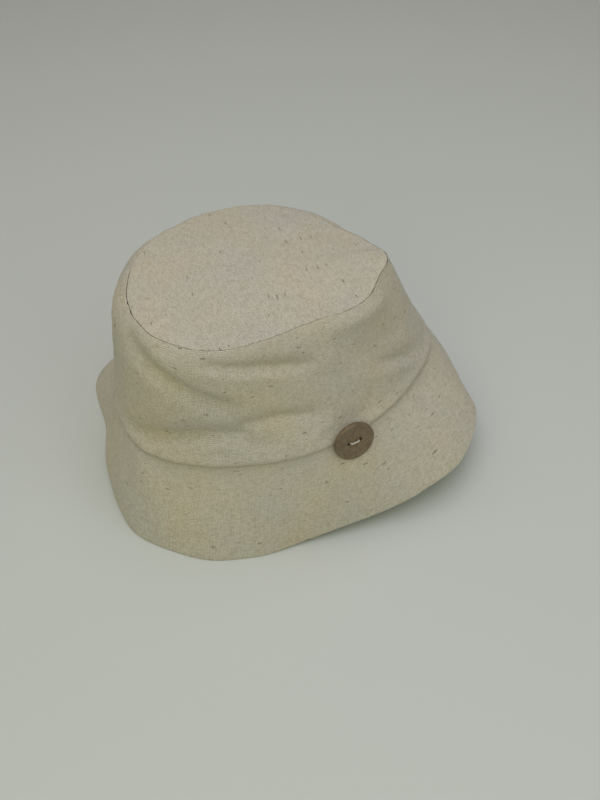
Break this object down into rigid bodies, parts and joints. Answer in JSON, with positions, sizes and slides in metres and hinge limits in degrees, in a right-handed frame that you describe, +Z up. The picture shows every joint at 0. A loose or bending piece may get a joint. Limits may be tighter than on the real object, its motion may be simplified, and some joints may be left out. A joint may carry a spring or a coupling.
{
  "type": "soft linen hat",
  "caption": "Soft hat with an oval tip, a folded crown wall, a downturned flared brim and a flat button on the brim seam.",
  "frame": {"origin": "middle of the hat's footprint, on the surface that the rim rests on", "axes": "+Z up, front of the hat towards -Y, wearer's left and the button towards +X"},
  "size_m": [0.2092, 0.2366, 0.1383],
  "materials": {
    "tip_linen": "plain undyed linen weave, matte",
    "wall_linen": "plain undyed linen weave, matte",
    "brim_linen": "plain undyed linen weave, matte",
    "coconut": "satin brown shell, faintly mottled",
    "thread": "twisted off-white thread"
  },
  "bodies": {
    "root": {"crown_tip": "tip_linen", "crown_wall": "wall_linen", "brim": "brim_linen", "button": "coconut", "button_thread": "thread"}
  },
  "joints": []
}
